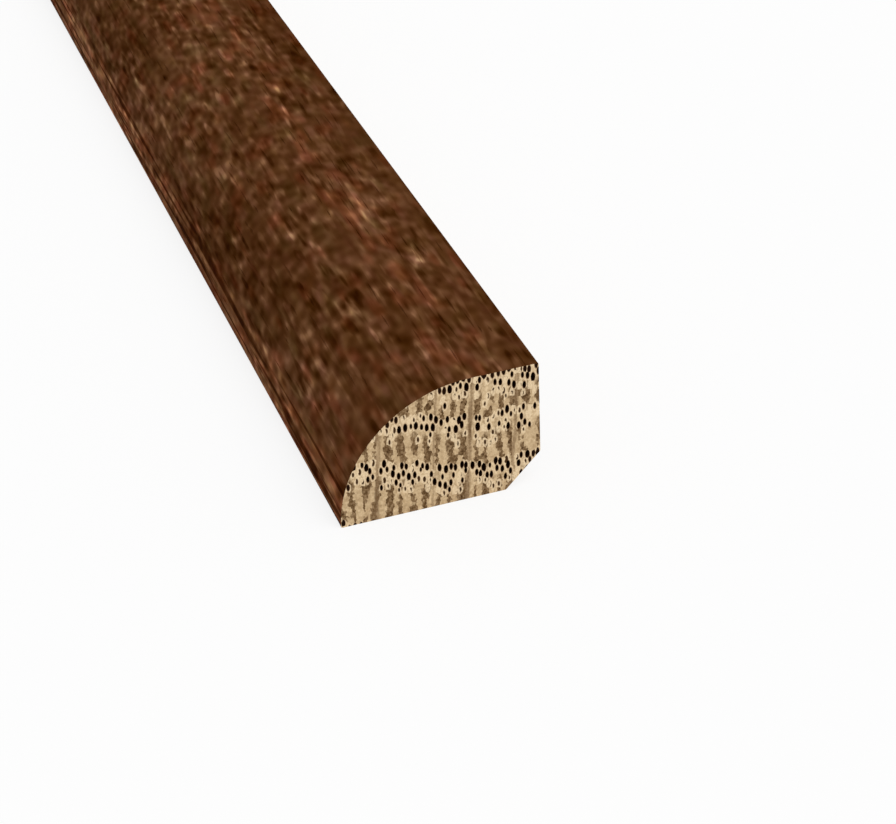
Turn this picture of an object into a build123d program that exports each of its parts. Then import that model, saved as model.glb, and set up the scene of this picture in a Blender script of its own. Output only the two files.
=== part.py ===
from build123d import *
import os

# Shoe moulding: one stick of milled oak trim. In use it stands on the floor, tight to the foot of a
# baseboard. Here it lies on its wall face, with its length along Y, the floor face towards +X and the
# thin toe, which is the top edge in use, towards -X.

# Driving sizes in millimetres
LENGTH = 1981.2  # 78 inches between the square-cut ends
WALL_FACE_WIDTH = 19.05  # 3/4 inch, the height up the baseboard in use
FLOOR_FACE_WIDTH = 12.7  # 1/2 inch, the reach over the floor in use
ROUND_RADIUS = 12.7  # 1/2 inch, the rounding of the show face
RELIEF_LEG = 3.4  # leg of the 45 degree bevel that clears the corner of wall and floor


def planed_strip():
    """Section of the strip before moulding: the wall face lies along the bottom."""
    return Rectangle(WALL_FACE_WIDTH, FLOOR_FACE_WIDTH, align=(Align.CENTER, Align.MIN))


def rounding_waste():
    """What the moulding cutter takes off above the toe, leaving a round that runs into the flat."""
    corner = Rectangle(ROUND_RADIUS, ROUND_RADIUS, align=(Align.MAX, Align.MIN))
    cutter_centre = Pos(ROUND_RADIUS - WALL_FACE_WIDTH / 2, FLOOR_FACE_WIDTH - ROUND_RADIUS)
    return cutter_centre * (corner - Circle(ROUND_RADIUS))


def moulded_section():
    """Finished section: rounded show face, flat heel, and the relief bevel at the back corner."""
    section = planed_strip() - rounding_waste()
    back_corner = section.vertices().group_by(Axis.Y)[0].sort_by(Axis.X)[-1]
    return chamfer(back_corner, RELIEF_LEG)


shoe_moulding = extrude(Plane.XZ * moulded_section(), LENGTH / 2, both=True)

os.makedirs("parts", exist_ok=True)
export_step(shoe_moulding, "parts/shoe_moulding.step")
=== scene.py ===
import math

import bpy
from mathutils import Matrix, Vector


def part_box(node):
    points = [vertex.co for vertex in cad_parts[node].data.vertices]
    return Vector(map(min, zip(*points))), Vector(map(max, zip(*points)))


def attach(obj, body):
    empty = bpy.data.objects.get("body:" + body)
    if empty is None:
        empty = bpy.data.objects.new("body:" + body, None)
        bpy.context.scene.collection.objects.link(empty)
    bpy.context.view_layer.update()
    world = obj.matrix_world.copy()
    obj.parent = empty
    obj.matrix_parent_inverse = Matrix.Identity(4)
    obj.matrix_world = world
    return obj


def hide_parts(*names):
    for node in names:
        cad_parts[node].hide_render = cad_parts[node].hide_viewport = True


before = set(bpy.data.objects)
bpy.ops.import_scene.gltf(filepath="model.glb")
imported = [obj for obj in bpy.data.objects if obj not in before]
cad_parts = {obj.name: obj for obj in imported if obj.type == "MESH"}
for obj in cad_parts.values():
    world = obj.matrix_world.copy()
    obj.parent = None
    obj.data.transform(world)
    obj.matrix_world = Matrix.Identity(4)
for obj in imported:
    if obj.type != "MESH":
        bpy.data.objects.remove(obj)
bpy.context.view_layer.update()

# Sizes of the stick, read from the frame, in metres
MM = 0.001
STICK = "shoe_moulding"
TOUCHING = 0.01 * MM
low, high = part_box(STICK)
WIDTH, LENGTH, THICKNESS = high - low
cad_corners = [v.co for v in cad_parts[STICK].data.vertices]
RELIEF_LEG = min(p.z for p in cad_corners if p.x > high.x - TOUCHING) - low.z
FLAT_START = min(p.x for p in cad_corners if p.z > high.z - TOUCHING)
ROUND_RADIUS = FLAT_START - low.x
ROUND_GIRTH = ROUND_RADIUS / MM * math.pi / 2  # in millimetres

# Fineness of the mesh
ROUND_STEPS = 48
BACK_CORNERS = 3  # the heel, then the two edges of the bevel
LENGTH_STEPS = 20
ARRIS_RADIUS = 0.12 * MM
ARRIS_STEPS = 2
CREASE_ANGLE = math.radians(20)
SEED = 7

# Growth of the tree as the sawn ends show it, in millimetres across from the toe and up
RING_BOTTOM = 13.0  # where each ring comes lowest
RING_SLOPES = (-0.30, 0.10)  # rise for each millimetre to either side of there
RING_BEND = 1.5  # half width of the bend between the two slopes
RING_FESTOONS = ((4.1, 0.22), (1.45, 0.13))  # length and height of the waves along a ring
FESTOON_BOTTOM = 14.1  # where these waves come lowest together
FIRST_RING = 12.62  # where the uppermost ring starts, at its lowest
RING_ROWS = (5, 6, 8)  # rows of cells in each ring, from the uppermost
ROW_PITCH = 0.83
ROW_STAGGER = 0.45  # columns that each row stands off from the row above
COLUMN_PITCH = 0.52
VESSEL_SCATTER = 0.48
VESSEL_SHARE = 0.85  # chance of an open vessel in a cell at a ring's start
VESSEL_SHARE_LOSS = 0.23  # lost with each row
FILLED_SHARE = 0.35  # further chance of a vessel that the tree has filled
VESSEL_ROWS = 3.4  # rows of a ring that have these filled vessels
VESSEL_SIZES = (0.72, 0.94)  # of the room that a cell's neighbours leave
VESSEL_SIZE_LOSS = 0.08  # lost with each row
VESSEL_STRETCH = 1.4  # height beyond the proportions of a cell
VESSEL_WALL = 0.08  # least wood left between a vessel and the edge
WIDE_RAYS = ((3.75, 0.2), (9.0, 0.1), (12.35, 0.23), (16.65, 0.18))  # place at mid-height, half width
RAY_LEAN = 0.07
EARLYWOOD_ROWS = (1.5, 2.7)  # rows over which a ring turns from earlywood to latewood
RAGGED_ROWS = 2.5  # rows over which the place of that change wanders
FLAME_PITCH = 1.15  # of the brown flames of fibres in the latewood
FLAME_WANDER = 1.5
FLAMES_CLEARED = 0.75  # share of the flames that earlywood lacks
RAY_WANDER = 0.35
RAY_RAGGEDNESS = 0.3
RAY_SOFTNESS = 0.1  # added to a ray's half width and taken from it, for where its edge fades
BUNDLE_SIZE = (0.18, 0.25)  # width and height of a bundle of fibres
BUNDLE_SOFTNESS = 0.25
STRANDS_APART = 7.37  # patches of noise from one strand of fibres to the next, enough to be unlike

# Cutters that open the vessels
VESSEL_DEPTH = 3.0 * MM
VESSEL_SIDES = 12
VESSEL_TAPER = 0.5
VESSEL_STANDS_OUT = 0.2 * MM
PORE_LINE_DEPTH = 0.06 * MM
PORE_LINE_SUNK = 0.8  # share of the cutter's half height that goes into the wood
PORE_LINE_WIDTHS = (0.14 * MM, 0.3 * MM)
PORE_LINE_LENGTHS = (1.2 * MM, 4.5 * MM)
PORE_LINE_SKEW = 0.03
FACE_PORE_LINES = 110_000.0  # per square metre of earlywood
BACK_PORE_LINES = 80_000.0
LATEWOOD_PORE_LINES = 0.3  # share of the earlywood's
PORE_LINE_ROWS = (3.5, 2.0)  # rows of a ring over which earlywood's share of them comes in
PORE_LINE_CROWDING = 2.0

# Zones of the stick: each surface is followed by the vessels that open in it
FACE, FACE_VESSEL, BACK, BACK_VESSEL, END, END_VESSEL = range(6)

# The flat map of the surface, in pixels: the length lies cut into rows, with the two ends above them
MAP_SIZE = 1024
MAP_MARGIN = 10
MAP_GAP = 8
MAP_ROWS = 5  # for the show face, and as many for the back; no mesh step crosses from row to row
FACE_SCALE = 3.7  # pixels for each millimetre round the show face
BACK_SCALE = 1.4
END_SCALE = 18.0

# Patterns along the grain: thickness and length in millimetres, and an offset to noise of its own
GRAIN_WAVES = (3.0, 40.0, 91.0)
FLECKS = (0.66, 1.6, 3.0)
FIBRES = (0.5, 3.6, 9.0)
STREAKS = (1.0, 6.0, 17.0)
LINES = (0.8, 40.0, 23.0)
CLOUDS = (10.0, 30.0, 31.0)
PALE_STREAKS = (0.7, 9.0, 67.0)
PALE_DASHES = (0.52, 4.0, 41.0)
DARK_DASHES = (0.46, 4.2, 47.0)
MEETING_DASHES = (0.5, 5.0, 73.0)
TOE_LINES = (0.5, 25.0, 61.0)
LIVELY_PATCHES = (4.0, 11.0, 37.0)
RED_STRANDS = (1.0, 4.5, 53.0)
MAUVE_STRANDS = (0.6, 3.0, 83.0)
BACK_FIBRES = (0.3, 9.0, 43.0)
BACK_PORES = (0.28, 6.0, 79.0)
BACK_STREAKS = (1.2, 40.0, 57.0)
VESSEL_SHADES = (0.3, 0.8, 5.0)
PORE_LINE_CROWDS = (4.0, 45.0, 71.0)
GRAIN_WAVE_HEIGHT = 1.2

# Patterns on the sawn ends: sizes across, along and up in millimetres, and an offset as above
SPECKS = ((0.15, 0.0, 0.19), 3.0)
LUMPS = ((0.3, 0.0, 0.4), 7.0)
MOTTLE = ((0.8, 0.0, 1.1), 11.0)
RAGGED = ((0.38, 0.0, 0.55), 13.0)
RAGGED_DETAIL = 2.0
RAY_FIBRES = ((0.2, 0.0, 5.0), 23.0)
RAY_PATCHES = ((1.6, 0.0, 2.0), 87.0)
FLAME_DRIFT = ((2.2, 0.0, 5.0), 29.0)
FLAME_BREADTH = ((1.3, 0.0, 2.8), 33.0)
FLAME_OUTLINE = ((0.45, 0.0, 0.65), 13.0)

# Levels of a pattern between which its marks come in
PALE_STREAK_EDGES = (0.14, 0.24)
PALE_DASH_EDGES = (0.08, 0.22)
DARK_DASH_EDGES = (0.06, 0.22)
MEETING_DASH_EDGES = (0.1, 0.25)
TOE_LINE_EDGES = (0.0, 0.14)
RED_EDGES = (0.03, 0.25)
GREEN_EDGES = (-0.03, -0.25)
MAUVE_EDGES = (0.0, 0.25)
YELLOW_EDGES = (0.0, -0.25)
BACK_PORE_EDGES = (0.1, 0.22)
FLAME_EDGES = (-0.01, 0.035)

# Places round the show face where its colour differs, in millimetres from the toe or from a line, among
# them painted light on the top of the round
MEETING_LINE_REACH = (3.0, 0.2)  # from the line where the round meets the flat
# Painted light: the top of the round is a little lighter, as if lit from above
LIT_TOP_PLACE = 16.5
LIT_TOP_REACH = (6.0, 2.0)
TOE_REACH = (5.0, 3.0)
FAR_FLAT_REACH = (22.0, 24.0)

# Places round a vessel on the sawn ends, in cells from its edge
RIM_REACH = (0.4, 0.12)
VESSEL_EDGE_REACH = (0.13, 0.03)
MOUTH_SHADE_REACH = (0.04, -0.02)
UNFILLED_REACH = (0.03, -0.12)
UNFILLED_SIDE = (-0.1, 0.02)

# Tones, and the weight of each part that adds to them
STAIN_TONE = 0.48
GATHERED_STAIN = 0.12  # tone lost in the open pores of the show face
STEADY_WEIGHTS = {"streaks": 0.35, "lines": 0.22, "clouds": 0.28, "pale_streaks": 0.1}
LIVELY_WEIGHTS = {"flecks": 0.75, "fibres": 0.6, "pale_dashes": 0.2, "dark_dashes": -0.22}
PLACE_WEIGHTS = {
    "meeting_line": 0.06,
    "meeting_dashes": 0.3,
    # painted light on the top of the round
    "lit_top": 0.04,
    "far_flat": -0.04,
    "toe": 0.22,
    "toe_lines": -0.52,
}
LIVELINESS_WEIGHTS = {"patches": 1.2, "far_flat": -0.2}
REDNESS_WEIGHTS = {"strands": 1.0, "meeting_line": 0.12, "toe": 0.08}
BACK_TONE = 0.52
BACK_WEIGHTS = {"fibres": 0.5, "streaks": 0.8, "pores": -0.3}
PALE_WOOD_TONE = 0.51
PALE_WOOD_WEIGHTS = {"chance": 0.14, "lumps": 0.45, "mottle": 0.25, "specks": 0.3, "earlywood": 0.12}
BROWN_TONE = 0.5
BROWN_WEIGHTS = {"chance": 0.5, "specks": 0.6, "lumps": 0.6}
RAY_TONE = 0.5
RAY_WEIGHTS = {"fibres": 1.2, "specks": 0.5}
FLAME_WEIGHTS = {"columns": 0.15, "breadth": 0.5, "outline": 0.4, "chance": 0.1}
UNFILLED_WEIGHTS = {"aside": 1.0, "mottle": 2.0, "lumps": 1.0}

# How far one colour covers another on the sawn ends
RAY_COVER = 0.78
RAY_PATCHINESS = 0.9
RIM_COVER = 0.8
VESSEL_EDGE_COVER = 0.75
VESSEL_EDGE_RAGGEDNESS = 0.15

# Colours as on a screen, 0 to 255, those of a ramp after their places on it
STAIN_COLOURS = [
    (0.0, (44, 16, 0)),
    (0.2, (63, 32, 7)),
    (0.4, (83, 49, 24)),
    (0.6, (107, 70, 44)),
    (0.8, (146, 104, 73)),
    (1.0, (196, 156, 112)),
]
STAIN_RAMP_SHARE = 0.8  # of the ramp, which a tone of 1 reaches
BACK_COLOURS = [(0.1, (150, 120, 86)), (0.5, (186, 156, 118)), (0.9, (212, 186, 150))]
PALE_WOOD_COLOURS = [
    (0.1, (146, 118, 84)),
    (0.35, (182, 154, 117)),
    (0.6, (206, 179, 140)),
    (0.9, (238, 213, 174)),
]
BROWN_COLOURS = [(0.1, (66, 44, 23)), (0.45, (112, 86, 57)), (0.9, (156, 129, 96))]
RAY_COLOURS = [(0.2, (112, 86, 58)), (0.5, (144, 117, 86)), (0.8, (172, 145, 112))]
RIM_COLOUR = (233, 208, 170)
# Painted shade in the open side of a filled vessel
UNFILLED_SHADE_COLOUR = (66, 43, 23)
VESSEL_EDGE_COLOUR = (118, 80, 44)
# Painted shade: the near-black mouth of an open vessel, drawn also where no hole is cut
MOUTH_SHADE_COLOUR = (30, 14, 5)
# Painted shade inside the opened vessels: near black in the deep pegs at the ends, darker than the raw
# wood in the pore lines of the back
END_VESSEL_SHADE_COLOUR = (48, 22, 8)
BACK_VESSEL_SHADE_COLOUR = (120, 92, 62)
VESSEL_SHADE = 0.7  # share of its colour that a vessel keeps in its darkest parts

# Tints, which multiply the colour of the stain
RED_TINT = (1.16, 0.93, 0.9)
GREEN_TINT = (0.92, 1.04, 0.94)
MAUVE_TINT = (1.02, 0.96, 1.09)
YELLOW_TINT = (1.0, 1.02, 0.88)
TOE_TINT = (1.03, 0.97, 0.84)

# Roughness from the dark tones to the pale ones, shine, and the height of the finest relief
TONE_ENDS = (0.1, 0.9)
FACE_ROUGHNESS = (0.75, 0.5)
BACK_ROUGHNESS = (0.8, 0.6)
VESSEL_ROUGHNESS = (0.75, 0.95)  # from its own colour to its shade
END_ROUGHNESS = (0.7, 0.9)  # from the pale wood to the brown flames
FACE_SHINE = 0.003
BACK_SHINE = 0.2
VESSEL_SHINE = 0.0
END_SHINE = 0.02
LONG_RELIEF = 0.02 * MM
END_RELIEF = 0.015 * MM

# Studio
WHITE = (1.0, 1.0, 1.0, 1.0)
FLOOR_SIZE = 80.0
FLOOR_GREY = 0.92
FLOOR_GLOW = 0.8  # share of the floor's white that shadows leave alone
SKY_STRENGTH = 0.6
KEY_STRENGTH = 1.5
KEY_SPREAD = math.radians(50)
KEY_DIRECTION = (-0.35, 0.55, -1.0)

# Camera, as it stood for the photograph
SENSOR_WIDTH = 36.0
FOCAL_LENGTH = 98.62
NEAREST_SEEN = 10 * MM
CAMERA_PLACE = (-45.88, -171.83, 127.31)  # in millimetres from the near end of the toe
CAMERA_AZIMUTH = math.radians(-18.15)
CAMERA_ELEVATION = math.radians(33.04)
CAMERA_ROLL = math.radians(2.48)


def srgb(red, green, blue):
    """A screen colour, 0 to 255, as linear light with full alpha."""
    shares = [level / 255 for level in (red, green, blue)]
    linear = [s / 12.92 if s <= 0.04045 else ((s + 0.055) / 1.055) ** 2.4 for s in shares]
    return (*linear, 1.0)


# Node maths
def find_socket(sockets, key):
    if isinstance(key, int):
        return sockets[key]
    return next(s for s in sockets if s.enabled and s.name == key)


def lay_stops(ramp, stops):
    """Puts (place, colour) stops on a colour ramp."""
    while len(ramp.elements) < len(stops):
        ramp.elements.new(1.0)
    for element, (place, colour) in zip(ramp.elements, stops):
        element.position = place
        element.color = colour


class Nodes:
    """A node tree, with one way of adding any node to it."""

    def __init__(self, tree):
        self.tree = tree

    def add(self, kind, settings=None, sockets=None):
        node = self.tree.nodes.new(kind)
        for name, value in (settings or {}).items():
            if name == "stops":
                lay_stops(node.color_ramp, value)
            else:
                setattr(node, name, value)
        for key, value in (sockets or {}).items():
            socket = find_socket(node.inputs, key)
            for item in value if isinstance(value, list) else [value]:
                if isinstance(item, Wire):
                    self.tree.links.new(item.socket, socket)
                else:
                    socket.default_value = item
        enabled = [s for s in node.outputs if s.enabled]
        return Wire(self, enabled[0]) if enabled else None


class Wire:
    """An output socket. Arithmetic between wires and numbers adds Math nodes."""

    def __init__(self, nodes, socket):
        self.nodes = nodes
        self.socket = socket

    def out(self, name):
        """Another output of the same node."""
        return Wire(self.nodes, find_socket(self.socket.node.outputs, name))

    def __add__(self, other):
        return maths("ADD", self, other)

    def __radd__(self, other):
        return maths("ADD", other, self)

    def __sub__(self, other):
        return maths("SUBTRACT", self, other)

    def __rsub__(self, other):
        return maths("SUBTRACT", other, self)

    def __mul__(self, other):
        return maths("MULTIPLY", self, other)

    def __rmul__(self, other):
        return maths("MULTIPLY", other, self)

    def __truediv__(self, other):
        return maths("DIVIDE", self, other)

    def __rtruediv__(self, other):
        return maths("DIVIDE", other, self)

    def __gt__(self, other):
        return maths("GREATER_THAN", self, other)

    def __lt__(self, other):
        return maths("LESS_THAN", self, other)

    def __abs__(self):
        return maths("ABSOLUTE", self)


def maths(operation, *values, kind="ShaderNodeMath"):
    nodes = next(v.nodes for v in values if isinstance(v, Wire))
    return nodes.add(kind, {"operation": operation}, dict(enumerate(values)))


def vector_maths(operation, *values):
    return maths(operation, *values, kind="ShaderNodeVectorMath")


def root_of_squares(first, second):
    return maths("SQRT", first * first + second * second)


def split(vector):
    axes = vector.nodes.add("ShaderNodeSeparateXYZ", sockets={"Vector": vector})
    return axes.out("X"), axes.out("Y"), axes.out("Z")


def joined(nodes, x, y, z):
    return nodes.add("ShaderNodeCombineXYZ", sockets={"X": x, "Y": y, "Z": z})


def blend(factor, first, second):
    """Colour between two colours."""
    settings = {"data_type": "RGBA", "clamp_factor": True}
    return factor.nodes.add("ShaderNodeMix", settings, {"Factor": factor, "A": first, "B": second})


def tinted(factor, colour, tint):
    """A colour multiplied by a tint, as far as the factor goes."""
    settings = {"data_type": "RGBA", "blend_type": "MULTIPLY", "clamp_factor": True}
    return factor.nodes.add("ShaderNodeMix", settings, {"Factor": factor, "A": colour, "B": (*tint, 1.0)})


def choose(test, when_true, when_false):
    """One of two numbers, by a test of 0 or 1, or a mix of them by a share."""
    settings = {"data_type": "FLOAT", "clamp_factor": True}
    sockets = {"Factor": test, "A": when_false, "B": when_true}
    return test.nodes.add("ShaderNodeMix", settings, sockets)


def weighed(parts, weights):
    """Sum of the named parts, each times its weight."""
    return sum(parts[name] * weight for name, weight in weights.items())


def between(ends, share):
    """A number between two ends."""
    start, end = ends
    return share * (end - start) + start


def fade(value, start, end):
    """Smooth 0 to 1 as the value goes from start to end."""
    settings = {"interpolation_type": "SMOOTHSTEP"}
    sockets = {"Value": value, "From Min": start, "From Max": end}
    return value.nodes.add("ShaderNodeMapRange", settings, sockets)


def ramp(value, stops):
    """Colour on a ramp of (place, screen colour) stops."""
    stops = [(place, srgb(*colour)) for place, colour in stops]
    return value.nodes.add("ShaderNodeValToRGB", {"stops": stops}, {"Fac": value})


def noise(position, size, offset, detail=0.0):
    """Noise about 0, with patches of a size given along each axis in millimetres."""
    scale = tuple(1 / (length * MM) if length else 0.0 for length in size)
    place = vector_maths("MULTIPLY_ADD", position, scale, (offset, offset, offset))
    sockets = {"Vector": place, "Scale": 1.0, "Detail": detail, "Roughness": 0.5}
    return position.nodes.add("ShaderNodeTexNoise", sockets=sockets) - 0.5


def along_grain(position, thickness, length, offset):
    """Noise about 0 in patches that lie along the grain, with sizes in millimetres."""
    return noise(position, (thickness, length, thickness), offset)


# Growth of the oak, which places the vessels and colours the wood round them
def section_place(position):
    """Millimetres across from the toe, along from the near end and up from the wall face."""
    x, y, z = split(position)
    return (x - low.x) / MM, (y - low.y) / MM, (z - low.z) / MM


def ring_rise(across):
    """How far the growth rings rise there above their lowest point."""
    off_bottom = across - RING_BOTTOM
    falling, rising = RING_SLOPES
    bend = maths("SQRT", off_bottom * off_bottom + RING_BEND ** 2) - RING_BEND
    rise = bend * ((rising - falling) / 2) + off_bottom * ((rising + falling) / 2)
    for length, height in RING_FESTOONS:
        rise = rise - maths("COSINE", (across - FESTOON_BOTTOM) * (2 * math.pi / length)) * height
    return rise


def rows_grown(across, up):
    """Rows of cells from the start of the uppermost ring down to a place."""
    return (ring_rise(across) - up + FIRST_RING) / ROW_PITCH


def rows_in_ring(rows):
    """Rows from the start of the ring that a place is in."""
    start = 0
    inside = rows
    for count in RING_ROWS:
        start += count
        inside = inside - (rows > start) * count
    return inside


def upright_place(across, up):
    """Place across, straightened along the rays, which lean a little."""
    return across - (up - THICKNESS / MM / 2) * RAY_LEAN


def in_wide_ray(upright, softness):
    """1 in the wide rays."""
    total = 0.0
    for place, half_width in WIDE_RAYS:
        total = fade(abs(upright - place), half_width + softness, half_width - softness) + total
    return total


def depth_inside(across, up):
    """Millimetres from the nearest edge of the section."""
    radius, width, relief = ROUND_RADIUS / MM, WIDTH / MM, RELIEF_LEG / MM
    off_round = maths("MINIMUM", across - radius, 0.0)
    from_round = radius - root_of_squares(off_round, up)
    from_bevel = (width - across + up - relief) / math.sqrt(2)
    from_back = maths("MINIMUM", width - across, up)
    return maths("MINIMUM", maths("MINIMUM", from_round, from_bevel), from_back)


def nearest_vessel(column, row):
    """The nearest vessel: its place across and up, half width in cells, and if it is open or filled."""
    place = joined(column.nodes, column + row * ROW_STAGGER, row, 0.0)
    sockets = {"Vector": place, "Scale": 1.0, "Randomness": VESSEL_SCATTER}
    settings = {"voronoi_dimensions": "2D", "feature": "F1"}
    cell = column.nodes.add("ShaderNodeTexVoronoi", settings, sockets)
    settings = {"voronoi_dimensions": "2D", "feature": "N_SPHERE_RADIUS"}
    room = column.nodes.add("ShaderNodeTexVoronoi", settings, sockets)
    chance, size, _ = split(cell.out("Color"))
    staggered, row, _ = split(cell.out("Position"))
    across = (staggered - row * ROW_STAGGER) * COLUMN_PITCH
    rise = ring_rise(across)
    up = rise + FIRST_RING - row * ROW_PITCH
    inside = rows_in_ring(row)
    smallest, largest = VESSEL_SIZES
    half_width = room * (smallest + (largest - smallest) * size) * (1 - inside * VESSEL_SIZE_LOSS)
    between_rays = in_wide_ray(upright_place(across, up), COLUMN_PITCH / 3) < 0.5
    share = VESSEL_SHARE - inside * VESSEL_SHARE_LOSS
    is_open = (chance < share) * between_rays
    is_vessel = (chance < share + FILLED_SHARE) * (inside < VESSEL_ROWS) * between_rays
    return across, up, half_width, is_open, maths("MAXIMUM", is_vessel - is_open, 0.0)


# Shape of the stick
def moulded_profile(nodes, sizes):
    """Closed section: up the round from the toe, along the flat, then down and back underneath."""
    index = nodes.add("GeometryNodeInputIndex")
    corner = index - ROUND_STEPS  # from 1, past the round
    angle = maths("MINIMUM", index / ROUND_STEPS, 1.0) * (math.pi / 2)
    round_x = sizes["Round Radius"] * (1 - maths("COSINE", angle)) - sizes["Width"] / 2
    round_z = sizes["Round Radius"] * maths("SINE", angle)
    corner_x = sizes["Width"] / 2 - sizes["Relief Leg"] * (corner > 2.5)
    corner_z = choose(corner < 1.5, sizes["Thickness"], sizes["Relief Leg"] * (corner < 2.5))
    past_round = corner > 0.5
    x = choose(past_round, corner_x, round_x)
    z = choose(past_round, corner_z, round_z)
    # A sweep along +Y turns a profile's own +Y downwards
    place = joined(nodes, x, 0.0 - z, 0.0)
    count = ROUND_STEPS + 1 + BACK_CORNERS
    points = nodes.add("GeometryNodePoints", sockets={"Count": count, "Position": place})
    curve = nodes.add("GeometryNodePointsToCurves", sockets={"Points": points})
    curve = nodes.add("GeometryNodeSetSplineCyclic", sockets={"Geometry": curve, "Cyclic": True})
    radius = sizes["Arris Radius"] * maths("MAXIMUM", past_round, index < 0.5)
    sockets = {"Curve": curve, "Count": ARRIS_STEPS, "Radius": radius, "Limit Radius": True}
    return nodes.add("GeometryNodeFilletCurve", {"mode": "POLY"}, sockets)


def numbered(geometry, zone):
    """Writes the number of its zone on each face."""
    settings = {"data_type": "INT", "domain": "FACE"}
    sockets = {"Geometry": geometry, "Name": "zone", "Value": zone}
    return geometry.nodes.add("GeometryNodeStoreNamedAttribute", settings, sockets)


def zone_number(nodes):
    return nodes.add("GeometryNodeInputNamedAttribute", {"data_type": "INT"}, {"Name": "zone"})


def in_zone(nodes, number):
    return maths("COMPARE", zone_number(nodes), number, 0.5)


def swept_stick(nodes, sizes):
    """The section swept along the length, with its faces numbered by zone."""
    start = joined(nodes, 0.0, sizes["Length"] / -2, 0.0)
    end = joined(nodes, 0.0, sizes["Length"] / 2, 0.0)
    path = nodes.add("GeometryNodeCurvePrimitiveLine", sockets={"Start": start, "End": end})
    path = nodes.add("GeometryNodeResampleCurve", sockets={"Curve": path, "Count": LENGTH_STEPS + 1})
    sockets = {"Curve": path, "Profile Curve": moulded_profile(nodes, sizes), "Fill Caps": True}
    stick = nodes.add("GeometryNodeCurveToMesh", sockets=sockets)
    out_x, out_y, out_z = split(nodes.add("GeometryNodeInputNormal"))
    # The show face looks up, but at the toe almost straight out
    looks_up, looks_out = out_z > 0.05, out_x < -0.9
    shown = maths("MAXIMUM", looks_up, looks_out)
    return numbered(stick, choose(abs(out_y) > 0.5, END, choose(shown, FACE, BACK)))


def named_vector(nodes, name):
    return nodes.add("GeometryNodeInputNamedAttribute", {"data_type": "FLOAT_VECTOR"}, {"Name": name})


def vessel_places(nodes):
    """A point for each vessel that comes out at an end, on the middle plane, with its size stored."""
    spare_columns, spare_rows, looks_per_cell = 2, 6, 4
    columns = math.ceil(WIDTH / MM / COLUMN_PITCH) + spare_columns
    rows = sum(RING_ROWS) + spare_rows
    sockets = {
        "Size X": columns,
        "Size Y": rows,
        "Vertices X": columns * looks_per_cell + 1,
        "Vertices Y": rows * looks_per_cell + 1,
    }
    places = nodes.add("GeometryNodeMeshGrid", sockets=sockets)
    column, row, _ = split(nodes.add("GeometryNodeInputPosition"))
    across, up, half_width, is_open, _ = nearest_vessel(column + (columns / 2 - 1), row + (rows / 2 - 1))
    place = joined(nodes, across * MM + low.x, 0.0, up * MM + low.z)
    half_height = half_width * (ROW_PITCH * VESSEL_STRETCH)
    clear = (depth_inside(across, up) > half_height + VESSEL_WALL) * is_open
    size = joined(nodes, half_width * COLUMN_PITCH * MM, half_height * MM, clear)
    settings = {"data_type": "FLOAT_VECTOR", "domain": "POINT"}
    sockets = {"Geometry": places, "Name": "vessel_size", "Value": size}
    places = nodes.add("GeometryNodeStoreNamedAttribute", settings, sockets)
    sockets = {"Geometry": places, "Name": "vessel_place", "Value": place}
    places = nodes.add("GeometryNodeStoreNamedAttribute", settings, sockets)
    place = named_vector(nodes, "vessel_place")
    places = nodes.add("GeometryNodeSetPosition", sockets={"Geometry": places, "Position": place})
    places = nodes.add("GeometryNodeMergeByDistance", sockets={"Geometry": places, "Distance": TOUCHING})
    _, _, clear = split(named_vector(nodes, "vessel_size"))
    sockets = {"Geometry": places, "Selection": clear < 0.5}
    return nodes.add("GeometryNodeDeleteGeometry", {"domain": "POINT"}, sockets)


def end_vessels(nodes, sizes):
    """Tapered pegs that open the vessels at both ends."""
    places = vessel_places(nodes)
    sockets = {
        "Vertices": VESSEL_SIDES,
        "Radius Top": VESSEL_TAPER,
        "Radius Bottom": 1.0,
        "Depth": sizes["Vessel Depth"] + VESSEL_STANDS_OUT,
    }
    peg = numbered(nodes.add("GeometryNodeMeshCone", sockets=sockets), END_VESSEL)
    size = named_vector(nodes, "vessel_size")
    pegs = []
    for side in (-1, 1):
        out = (sizes["Length"] / 2 + VESSEL_STANDS_OUT) * side
        sockets = {"Geometry": places, "Offset": joined(nodes, 0.0, out, 0.0)}
        at_end = nodes.add("GeometryNodeSetPosition", sockets=sockets)
        turn = (side * math.pi / 2, 0.0, 0.0)
        sockets = {"Points": at_end, "Instance": peg, "Rotation": turn, "Scale": size}
        pegs.append(nodes.add("GeometryNodeInstanceOnPoints", sockets=sockets))
    return pegs


def random_between(nodes, ends, seed):
    """A random number for each point, between two ends."""
    sockets = {"Min": ends[0], "Max": ends[1], "Seed": seed}
    return nodes.add("FunctionNodeRandomValue", {"data_type": "FLOAT"}, sockets)


def pore_share(nodes):
    """How likely a pore line is at a place on a long surface: they crowd in the earlywood."""
    position = nodes.add("GeometryNodeInputPosition")
    across, _, up = section_place(position)
    earlywood = fade(rows_in_ring(rows_grown(across, up)), *PORE_LINE_ROWS)
    crowd = along_grain(position, *PORE_LINE_CROWDS) * PORE_LINE_CROWDING + 1
    return (earlywood * (1 - LATEWOOD_PORE_LINES) + LATEWOOD_PORE_LINES) * crowd


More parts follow.
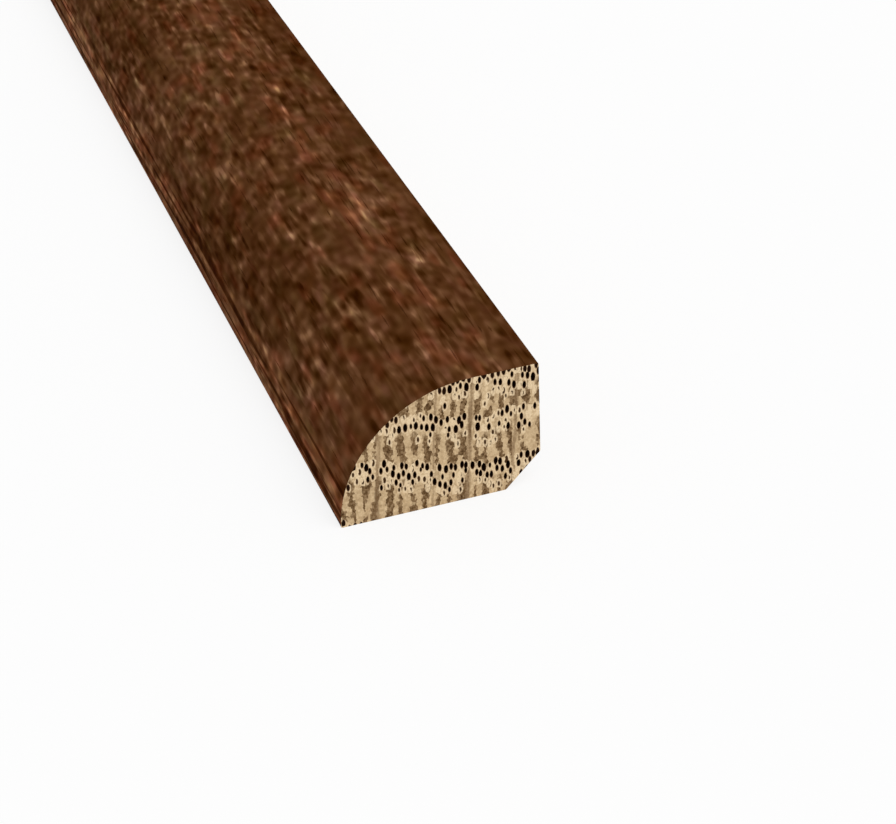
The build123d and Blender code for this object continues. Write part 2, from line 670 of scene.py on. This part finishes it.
def pore_lines(stick, surface, vessels, density, seed):
    """Slim lozenges along the grain, which cut the open pores of one long surface."""
    nodes = stick.nodes
    sockets = {"Mesh": stick, "Selection": in_zone(nodes, surface), "Density": density, "Seed": seed}
    points = nodes.add("GeometryNodeDistributePointsOnFaces", {"distribute_method": "RANDOM"}, sockets)
    normal = points.out("Normal")
    left_out = random_between(nodes, (0.0, 1.0), seed + 4) > pore_share(nodes)
    sockets = {"Geometry": points, "Selection": left_out}
    kept = nodes.add("GeometryNodeDeleteGeometry", {"domain": "POINT"}, sockets)
    # Its middle stands a little out of the wood, so that its widest edges are clear of the surface
    lozenge = nodes.add("GeometryNodeMeshUVSphere", sockets={"Segments": 4, "Rings": 2, "Radius": 1.0})
    sockets = {"Geometry": lozenge, "Translation": (0.0, 0.0, 1 - PORE_LINE_SUNK)}
    lozenge = numbered(nodes.add("GeometryNodeTransform", sockets=sockets), vessels)
    skew = random_between(nodes, (-PORE_LINE_SKEW, PORE_LINE_SKEW), seed + 1)
    sockets = {"Primary Axis": normal, "Secondary Axis": joined(nodes, skew, 1.0, 0.0)}
    turn = nodes.add("FunctionNodeAxesToRotation", {"primary_axis": "Z", "secondary_axis": "Y"}, sockets)
    half_width = random_between(nodes, PORE_LINE_WIDTHS, seed + 2) / 2
    half_length = random_between(nodes, PORE_LINE_LENGTHS, seed + 3) / 2
    half_height = PORE_LINE_DEPTH / PORE_LINE_SUNK
    size = joined(nodes, half_width / PORE_LINE_SUNK, half_length / PORE_LINE_SUNK, half_height)
    sockets = {"Points": kept, "Instance": lozenge, "Rotation": turn, "Scale": size}
    return nodes.add("GeometryNodeInstanceOnPoints", sockets=sockets)


def shaded_smooth(wood):
    """Smooth shading outside the vessels, with creases at the sharp edges."""
    nodes = wood.nodes
    outside = maths("MODULO", zone_number(nodes), 2.0) < 0.5
    sockets = {"Geometry": wood, "Shade Smooth": outside}
    wood = nodes.add("GeometryNodeSetShadeSmooth", {"domain": "FACE"}, sockets)
    crease = nodes.add("GeometryNodeInputMeshEdgeAngle").out("Unsigned Angle") > CREASE_ANGLE
    sockets = {"Geometry": wood, "Selection": crease, "Shade Smooth": False}
    return nodes.add("GeometryNodeSetShadeSmooth", {"domain": "EDGE"}, sockets)


def girth(across, up):
    """Millimetres round the show face from the toe."""
    radius = ROUND_RADIUS / MM
    on_flat = maths("MAXIMUM", across - radius, 0.0)
    off_round = radius - maths("MINIMUM", across, radius)
    return maths("ARCTAN2", up, off_round) * radius + on_flat


def back_girth(across, up):
    """Millimetres round the back: down the floor face and the bevel, then along the wall face."""
    width, thickness, relief = WIDTH / MM, THICKNESS / MM, RELIEF_LEG / MM
    down_floor_face = thickness - maths("MAXIMUM", up, relief)
    down_bevel = maths("MAXIMUM", width + relief - across - up, 0.0) / math.sqrt(2)
    along_wall_face = maths("MAXIMUM", width - relief - across, 0.0)
    return down_floor_face + maths("MINIMUM", down_bevel, relief * math.sqrt(2)) + along_wall_face


def mapped(wood):
    """Lays each face on the flat map that its colours can be baked to."""
    nodes = wood.nodes
    across, along, up = section_place(nodes.add("GeometryNodeInputPosition"))
    row_length = LENGTH / MM / MAP_ROWS
    settings = {"data_type": "FLOAT", "domain": "FACE"}
    row = maths("FLOOR", along / row_length)
    row = nodes.add("GeometryNodeFieldOnDomain", settings, {"Value": row})
    in_row = (along - row * row_length) * ((MAP_SIZE - 2 * MAP_MARGIN) / row_length)

    flat_width = (WIDTH - ROUND_RADIUS) / MM
    face_pitch = (ROUND_GIRTH + flat_width) * FACE_SCALE + MAP_GAP
    back_width = (WIDTH + THICKNESS - RELIEF_LEG * (2 - math.sqrt(2))) / MM
    back_pitch = back_width * BACK_SCALE + MAP_GAP
    face_up = row * face_pitch + girth(across, up) * FACE_SCALE
    back_up = row * back_pitch + back_girth(across, up) * BACK_SCALE + face_pitch * MAP_ROWS
    end_up = up * END_SCALE + (face_pitch + back_pitch) * MAP_ROWS
    end_across = across * END_SCALE + (along > LENGTH / MM / 2) * (MAP_SIZE / 2)

    zone = zone_number(nodes)
    on_end = zone > END - 0.5
    map_across = choose(on_end, end_across, in_row)
    map_up = choose(on_end, end_up, choose(zone > BACK - 0.5, back_up, face_up))
    place = joined(nodes, (map_across + MAP_MARGIN) / MAP_SIZE, (map_up + MAP_MARGIN) / MAP_SIZE, 0.0)
    settings = {"data_type": "FLOAT2", "domain": "CORNER"}
    sockets = {"Geometry": wood, "Name": "OFBake", "Value": place}
    return nodes.add("GeometryNodeStoreNamedAttribute", settings, sockets)


def moulding_tree(values, finishes):
    """The whole stick: swept, cut by its vessels and pores, and given its finishes."""
    tree = bpy.data.node_groups.new("moulding", "GeometryNodeTree")
    tree.interface.new_socket("Geometry", in_out="OUTPUT", socket_type="NodeSocketGeometry")
    for name, value in values.items():
        kind = "NodeSocketInt" if isinstance(value, int) else "NodeSocketFloat"
        tree.interface.new_socket(name, in_out="INPUT", socket_type=kind)
    nodes = Nodes(tree)
    group = nodes.add("NodeGroupInput")
    sizes = {name: group.out(name) for name in values}
    stick = swept_stick(nodes, sizes)
    cutters = end_vessels(nodes, sizes)
    seed = sizes["Seed"]
    cutters.append(pore_lines(stick, FACE, FACE_VESSEL, sizes["Face Pore Lines"], seed))
    cutters.append(pore_lines(stick, BACK, BACK_VESSEL, sizes["Back Pore Lines"], seed + 10))
    settings = {"operation": "DIFFERENCE", "solver": "MANIFOLD"}
    wood = nodes.add("GeometryNodeMeshBoolean", settings, {"Mesh 1": stick, "Mesh 2": cutters})
    wood = mapped(shaded_smooth(wood))
    wood = nodes.add("GeometryNodeRealizeInstances", sockets={"Geometry": wood})
    for number, finish in enumerate(finishes):
        sockets = {"Geometry": wood, "Selection": in_zone(nodes, number), "Material": finish}
        wood = nodes.add("GeometryNodeSetMaterial", sockets=sockets)
    nodes.add("NodeGroupOutput", sockets={"Geometry": wood})
    return tree


def made_stick(finishes):
    """The stick as a plain mesh, shaped by the tree and given its finishes."""
    values = {
        "Length": LENGTH,
        "Width": WIDTH,
        "Thickness": THICKNESS,
        "Round Radius": ROUND_RADIUS,
        "Relief Leg": RELIEF_LEG,
        "Arris Radius": ARRIS_RADIUS,
        "Vessel Depth": VESSEL_DEPTH,
        "Face Pore Lines": FACE_PORE_LINES,
        "Back Pore Lines": BACK_PORE_LINES,
        "Seed": SEED,
    }
    stick = bpy.data.objects.new("moulded_stick", bpy.data.meshes.new("moulded_stick"))
    bpy.context.scene.collection.objects.link(stick)
    modifier = stick.modifiers.new("moulding", "NODES")
    modifier.node_group = moulding_tree(values, finishes)
    for item in modifier.node_group.interface.items_tree:
        if item.in_out == "INPUT":
            modifier[item.identifier] = values[item.name]
    shaped = stick.evaluated_get(bpy.context.evaluated_depsgraph_get())
    mesh = bpy.data.meshes.new_from_object(shaped)
    mesh.materials.pop(index=0)  # the swept mesh's own empty slot
    stick.modifiers.clear()
    stick.data = mesh
    return stick


# Finishes
def new_finish(name):
    """An empty material, its nodes, and the place on the stick in metres."""
    material = bpy.data.materials.new(name)
    material.use_nodes = True
    material.node_tree.nodes.clear()
    nodes = Nodes(material.node_tree)
    return material, nodes, nodes.add("ShaderNodeTexCoord").out("Object")


def surface(nodes, colour, roughness, shine, height=None, relief=0.0):
    """A shader of that colour and gloss, with a fine relief where a height is given."""
    sockets = {"Base Color": colour, "Roughness": roughness, "Specular IOR Level": shine}
    if height is not None:
        bump = {"Height": height, "Distance": relief, "Strength": 1.0}
        sockets["Normal"] = nodes.add("ShaderNodeBump", sockets=bump)
    shader = nodes.add("ShaderNodeBsdfPrincipled", sockets=sockets)
    nodes.add("ShaderNodeOutputMaterial", sockets={"Surface": shader})


def strands(round_face, along, thickness, length, offset):
    """Noise about 0 in straight dashes along the grain: each strand of fibres has tones of its own."""
    nodes = round_face.nodes
    place = round_face / thickness + offset
    number = maths("FLOOR", place)
    tones = []
    for step in (0, 1):
        spot = joined(nodes, (number + step) * STRANDS_APART, along / length, offset)
        sockets = {"Vector": spot, "Scale": 1.0, "Detail": 0.0}
        tones.append(nodes.add("ShaderNodeTexNoise", sockets=sockets))
    return choose(fade(place - number, 0.0, 1.0), tones[1], tones[0]) - 0.5


def stained_face(name, gathered):
    """Brown stain on the show face: short flecks and dashes, long streaks, and slow clouds of tone, with
    painted light on the top of the round.

    In the open pores the stain has gathered, which darkens them by as much as that says.
    """
    material, nodes, position = new_finish(name)
    across, along, up = section_place(position)
    round_face = girth(across, up)
    wavy_face = round_face + along_grain(position, *GRAIN_WAVES) * GRAIN_WAVE_HEIGHT
    steady = {
        "streaks": along_grain(position, *STREAKS),
        "lines": along_grain(position, *LINES),
        "clouds": along_grain(position, *CLOUDS),
        "pale_streaks": fade(along_grain(position, *PALE_STREAKS), *PALE_STREAK_EDGES),
    }
    lively = {
        "flecks": strands(wavy_face, along, *FLECKS),
        "fibres": strands(wavy_face, along, *FIBRES),
        "pale_dashes": fade(strands(wavy_face, along, *PALE_DASHES), *PALE_DASH_EDGES),
        "dark_dashes": fade(strands(wavy_face, along, *DARK_DASHES), *DARK_DASH_EDGES),
    }
    # Lighter and redder along the line where the round meets the flat, with pale dashes there; the stain
    # gathers in lines at the toe
    meeting_line = fade(abs(round_face - ROUND_GIRTH), *MEETING_LINE_REACH)
    meeting_dashes = fade(strands(wavy_face, along, *MEETING_DASHES), *MEETING_DASH_EDGES)
    toe = fade(round_face, *TOE_REACH)
    toe_lines = fade(along_grain(position, *TOE_LINES), *TOE_LINE_EDGES)
    far_flat = fade(round_face, *FAR_FLAT_REACH)
    places = {
        "meeting_line": meeting_line,
        "meeting_dashes": meeting_dashes * meeting_line,
        # Painted light: lighter on the top of the round, as if lit from above
        "lit_top": fade(abs(round_face - LIT_TOP_PLACE), *LIT_TOP_REACH),
        "far_flat": far_flat,
        "toe": toe,
        "toe_lines": toe_lines * toe,
    }
    patches = along_grain(position, *LIVELY_PATCHES)
    liveliness = 1 + weighed({"patches": patches, "far_flat": far_flat}, LIVELINESS_WEIGHTS)
    tone = STAIN_TONE - gathered + weighed(steady, STEADY_WEIGHTS) + weighed(places, PLACE_WEIGHTS)
    tone = tone + weighed(lively, LIVELY_WEIGHTS) * liveliness

    reds = {"strands": strands(wavy_face, along, *RED_STRANDS), "meeting_line": meeting_line, "toe": toe}
    redness = weighed(reds, REDNESS_WEIGHTS)
    mauve = strands(wavy_face, along, *MAUVE_STRANDS)
    colour = ramp(tone * STAIN_RAMP_SHARE, STAIN_COLOURS)
    colour = tinted(fade(redness, *RED_EDGES), colour, RED_TINT)
    colour = tinted(fade(redness, *GREEN_EDGES), colour, GREEN_TINT)
    colour = tinted(fade(mauve, *MAUVE_EDGES), colour, MAUVE_TINT)
    colour = tinted(fade(mauve, *YELLOW_EDGES), colour, YELLOW_TINT)
    colour = tinted(toe, colour, TOE_TINT)
    roughness = between(FACE_ROUGHNESS, fade(tone, *TONE_ENDS))
    surface(nodes, colour, roughness, FACE_SHINE, tone, LONG_RELIEF)
    return material


def shaded_vessels(name, colour):
    """Inside of an opened vessel, in painted shade: darker than the wood round it, and darker still in
    patches.
    """
    material, nodes, position = new_finish(name)
    shadow = along_grain(position, *VESSEL_SHADES) + 0.5
    darkest = [VESSEL_SHADE * level for level in colour]
    shade = blend(shadow, srgb(*colour), srgb(*darkest))
    surface(nodes, shade, between(VESSEL_ROUGHNESS, shadow), VESSEL_SHINE)
    return material


def raw_back():
    """Unstained planed oak on the faces that go against the wall and the floor."""
    material, nodes, position = new_finish("raw_back")
    across, along, up = section_place(position)
    round_back = back_girth(across, up) + along_grain(position, *GRAIN_WAVES) * GRAIN_WAVE_HEIGHT
    parts = {
        "fibres": strands(round_back, along, *BACK_FIBRES),
        "streaks": along_grain(position, *BACK_STREAKS),
        "pores": fade(strands(round_back, along, *BACK_PORES), *BACK_PORE_EDGES),
    }
    tone = BACK_TONE + weighed(parts, BACK_WEIGHTS)
    roughness = between(BACK_ROUGHNESS, fade(tone, *TONE_ENDS))
    surface(nodes, ramp(tone, BACK_COLOURS), roughness, BACK_SHINE, tone, LONG_RELIEF)
    return material


def wood_cell(across, up):
    """The bundle of fibres at a place on an end: its middle, and a random number about 0 of its own."""
    width, height = BUNDLE_SIZE
    place = joined(across.nodes, across / width, up / height, 0.0)
    settings = {"voronoi_dimensions": "2D", "feature": "SMOOTH_F1"}
    sockets = {"Vector": place, "Scale": 1.0, "Randomness": 1.0, "Smoothness": BUNDLE_SOFTNESS}
    cell = across.nodes.add("ShaderNodeTexVoronoi", settings, sockets)
    chance, _, _ = split(cell.out("Color"))
    cell_across, cell_up, _ = split(cell.out("Position"))
    return cell_across * width, cell_up * height, chance - 0.5


def in_flame(position, upright, chance):
    """1 in the brown flames of fibres, which stand in uneven columns along the rays."""
    drift = noise(position, *FLAME_DRIFT) * FLAME_WANDER
    parts = {
        "columns": maths("SINE", (upright + drift) * (2 * math.pi / FLAME_PITCH)),
        "breadth": noise(position, *FLAME_BREADTH),
        "outline": noise(position, *FLAME_OUTLINE),
        "chance": chance,
    }
    return fade(weighed(parts, FLAME_WEIGHTS), *FLAME_EDGES)


def sawn_end():
    """Raw end grain: bands of vessels with pale rims, rays, and brown flames in the latewood, with
    painted shade in the mouths of open vessels and in the open sides of filled ones.
    """
    material, nodes, position = new_finish("sawn_end")
    across, _, up = section_place(position)
    cell_across, cell_up, chance = wood_cell(across, up)
    ragged = noise(position, *RAGGED, detail=RAGGED_DETAIL)
    rows = rows_grown(across, up)
    earlywood_end, latewood_start = EARLYWOOD_ROWS
    earlywood = fade(rows_in_ring(rows + ragged * RAGGED_ROWS), latewood_start, earlywood_end)
    specks = noise(position, *SPECKS)
    parts = {
        "specks": specks,
        "lumps": noise(position, *LUMPS),
        "mottle": noise(position, *MOTTLE),
        "fibres": noise(position, *RAY_FIBRES),
        "chance": chance,
        "earlywood": earlywood,
    }
    colour = ramp(PALE_WOOD_TONE + weighed(parts, PALE_WOOD_WEIGHTS), PALE_WOOD_COLOURS)
    brown = ramp(BROWN_TONE + weighed(parts, BROWN_WEIGHTS), BROWN_COLOURS)
    cell_place = joined(nodes, cell_across * MM, 0.0, cell_up * MM)
    flame = in_flame(cell_place, upright_place(cell_across, cell_up), chance)
    colour = blend(flame * (1 - earlywood * FLAMES_CLEARED), colour, brown)
    ray = ramp(RAY_TONE + weighed(parts, RAY_WEIGHTS), RAY_COLOURS)
    patches = noise(position, *RAY_PATCHES)
    wandering = upright_place(across, up) + ragged * RAY_RAGGEDNESS + patches * RAY_WANDER
    in_ray = in_wide_ray(wandering, RAY_SOFTNESS)
    colour = blend(in_ray * (RAY_COVER + patches * RAY_PATCHINESS), colour, ray)

    vessel_across, vessel_up, half_width, is_open, is_filled = nearest_vessel(across / COLUMN_PITCH, rows)
    aside = (across - vessel_across) / COLUMN_PITCH
    above = (up - vessel_up) / (ROW_PITCH * VESSEL_STRETCH)
    from_vessel = root_of_squares(aside, above) - half_width
    rim = fade(from_vessel, *RIM_REACH) * maths("MAXIMUM", is_open, is_filled)
    colour = blend(rim * (RIM_COVER + specks), colour, srgb(*RIM_COLOUR))
    # Growth fills a vessel from one side, and painted shade darkens the rest, which stays open
    side = weighed({**parts, "aside": aside}, UNFILLED_WEIGHTS)
    unfilled_shade = fade(from_vessel, *UNFILLED_REACH) * fade(side, *UNFILLED_SIDE)
    colour = blend(unfilled_shade * is_filled, colour, srgb(*UNFILLED_SHADE_COLOUR))
    edge = fade(from_vessel + ragged * VESSEL_EDGE_RAGGEDNESS, *VESSEL_EDGE_REACH)
    colour = blend(edge * is_open * VESSEL_EDGE_COVER, colour, srgb(*VESSEL_EDGE_COLOUR))
    # Painted shade: the near-black mouth of each open vessel, also at the edges where no peg cuts it
    mouth_shade = fade(from_vessel, *MOUTH_SHADE_REACH)
    colour = blend(mouth_shade * is_open, colour, srgb(*MOUTH_SHADE_COLOUR))
    surface(nodes, colour, between(END_ROUGHNESS, flame), END_SHINE, specks, END_RELIEF)
    return material


# Studio
def sees_backdrop(nodes):
    """1 for the rays that show the backdrop: from the camera, in gloss and through glass."""
    path = nodes.add("ShaderNodeLightPath")
    seen = maths("MAXIMUM", path.out("Is Camera Ray"), path.out("Is Glossy Ray"))
    return maths("MAXIMUM", seen, path.out("Is Transmission Ray"))


def white_floor():
    """A wide white floor, on which shadows show only a little."""
    bpy.ops.mesh.primitive_plane_add(size=FLOOR_SIZE, location=(0.0, 0.0, low.z))
    floor = bpy.context.object
    floor.name = "floor"
    material, nodes, _ = new_finish("white_floor")
    grey = (FLOOR_GREY, FLOOR_GREY, FLOOR_GREY, 1.0)
    paper = nodes.add("ShaderNodeBsdfDiffuse", sockets={"Color": grey})
    glow = nodes.add("ShaderNodeEmission", sockets={"Color": WHITE, "Strength": 1.0})
    sockets = {0: sees_backdrop(nodes) * FLOOR_GLOW, 1: paper, 2: glow}
    mixed = nodes.add("ShaderNodeMixShader", sockets=sockets)
    nodes.add("ShaderNodeOutputMaterial", sockets={"Surface": mixed})
    floor.data.materials.append(material)


def studio_light():
    """A white sky and one wide, soft key light."""
    world = bpy.data.worlds.new("studio")
    bpy.context.scene.world = world
    world.use_nodes = True
    world.node_tree.nodes.clear()
    nodes = Nodes(world.node_tree)
    strength = choose(sees_backdrop(nodes), 1.0, SKY_STRENGTH)
    background = nodes.add("ShaderNodeBackground", sockets={"Color": WHITE, "Strength": strength})
    nodes.add("ShaderNodeOutputWorld", sockets={"Surface": background})
    key = bpy.data.lights.new("key", "SUN")
    key.energy = KEY_STRENGTH
    key.angle = KEY_SPREAD
    lamp = bpy.data.objects.new("key", key)
    lamp.rotation_euler = Vector(KEY_DIRECTION).to_track_quat("-Z", "Y").to_euler()
    bpy.context.scene.collection.objects.link(lamp)


def photo_camera():
    """The camera, placed and turned as the photograph shows."""
    data = bpy.data.cameras.new("camera")
    data.sensor_width = SENSOR_WIDTH
    data.lens = FOCAL_LENGTH
    data.clip_start = NEAREST_SEEN
    camera = bpy.data.objects.new("camera", data)
    near_toe = Vector((low.x, low.y, low.z))
    place = near_toe + Vector(CAMERA_PLACE) * MM
    tilt = Matrix.Rotation(math.pi / 2 - CAMERA_ELEVATION, 4, "X")
    turn = Matrix.Rotation(CAMERA_AZIMUTH, 4, "Z") @ tilt @ Matrix.Rotation(-CAMERA_ROLL, 4, "Z")
    camera.matrix_world = Matrix.Translation(place) @ turn
    bpy.context.scene.collection.objects.link(camera)
    bpy.context.scene.camera = camera


finishes = [
    stained_face("stained_face", 0.0),
    stained_face("stained_vessels", GATHERED_STAIN),
    raw_back(),
    # Painted shade inside the opened vessels of the back and of the ends
    shaded_vessels("back_vessels", BACK_VESSEL_SHADE_COLOUR),
    sawn_end(),
    shaded_vessels("end_vessels", END_VESSEL_SHADE_COLOUR),
]
stick = made_stick(finishes)
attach(stick, "root")
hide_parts(STICK)

white_floor()
studio_light()
photo_camera()
bpy.context.scene.view_settings.view_transform = "Standard"
